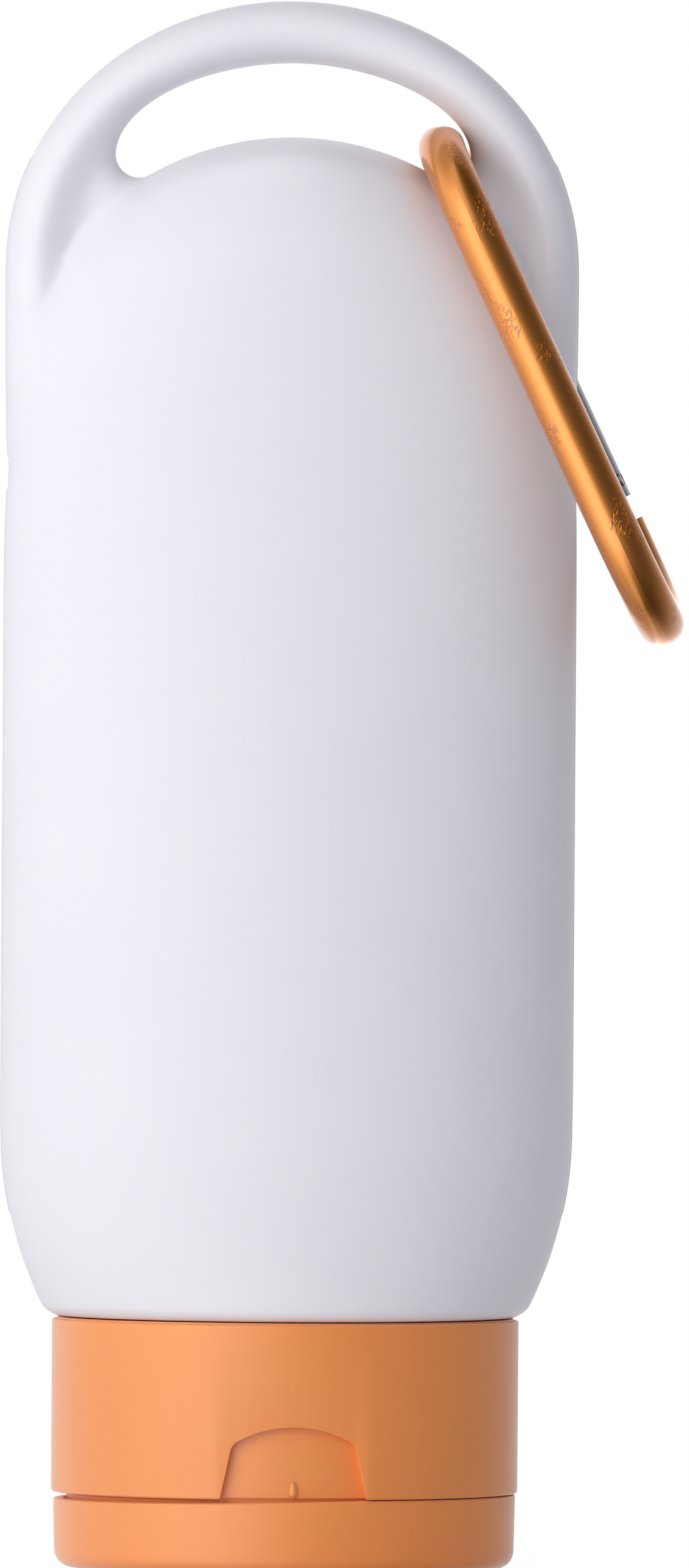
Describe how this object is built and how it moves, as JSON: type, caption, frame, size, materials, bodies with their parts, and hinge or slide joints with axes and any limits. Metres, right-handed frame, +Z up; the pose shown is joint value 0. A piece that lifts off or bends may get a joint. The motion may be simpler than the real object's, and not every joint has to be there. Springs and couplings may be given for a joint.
{
  "type": "squeeze bottle with flip-top cap and carabiner",
  "caption": "Upright oval squeeze bottle standing on an orange flip-top cap, with a moulded carrying handle and a snap carabiner hung through it.",
  "frame": {"origin": "centre of the lid's flat underside, on which the bottle stands", "axes": "+Z up from the lid to the handle, +X across the width towards the carabiner, -Y the front with the thumb recess"},
  "size_m": [0.0582, 0.0324, 0.1329],
  "materials": {
    "bottle_shell": "semi-matt blown polyethylene, white",
    "cap_plastic": "fine matt moulded polypropylene, orange",
    "anodised_rod": "glossy orange anodised aluminium rod",
    "plain_aluminium": "bright drawn aluminium",
    "steel": "plain steel"
  },
  "bodies": {
    "root": {"bottle": "bottle_shell", "cap_base": "cap_plastic", "hinge_web": "cap_plastic"},
    "lid": {"lid": "cap_plastic"},
    "carabiner": {"carabiner_frame": "anodised_rod"},
    "gate": {"carabiner_gate": "plain_aluminium", "pivot_rivet": "steel", "latch_pin": "steel", "gate_spring": "steel"},
    "plunger": {"gate_plunger": "steel"}
  },
  "joints": [
    {"name": "lid_hinge", "type": "hinge", "parent": "root", "child": "lid", "pos_m": [0, 0.01414, 0.00635], "axis": [1, 0, 0], "range_deg": [0, 135], "deforming": ["hinge_web"]},
    {"name": "carabiner_swing", "type": "hinge", "parent": "root", "child": "carabiner", "pos_m": [0.0127, 0, 0.12052], "axis": [-0.0945, -0.9945, -0.0447], "range_deg": [0, 235]},
    {"name": "gate_hinge", "type": "hinge", "parent": "carabiner", "child": "gate", "pos_m": [0.02032, 0.01044, 0.10698], "axis": [-0.8991, 0.1045, -0.425], "range_deg": [0, 22], "stiffness_Nm_per_rad": 0.0006, "springref_deg": -28.65},
    {"name": "plunger_slide", "type": "slide", "parent": "gate", "child": "plunger", "axis": [0.4274, 0, -0.9041], "range_m": [0, 0.0003625]}
  ],
  "couplings": [
    {"joint": "gate_hinge", "follows": "plunger_slide", "rad_per_m": 1059.1}
  ]
}
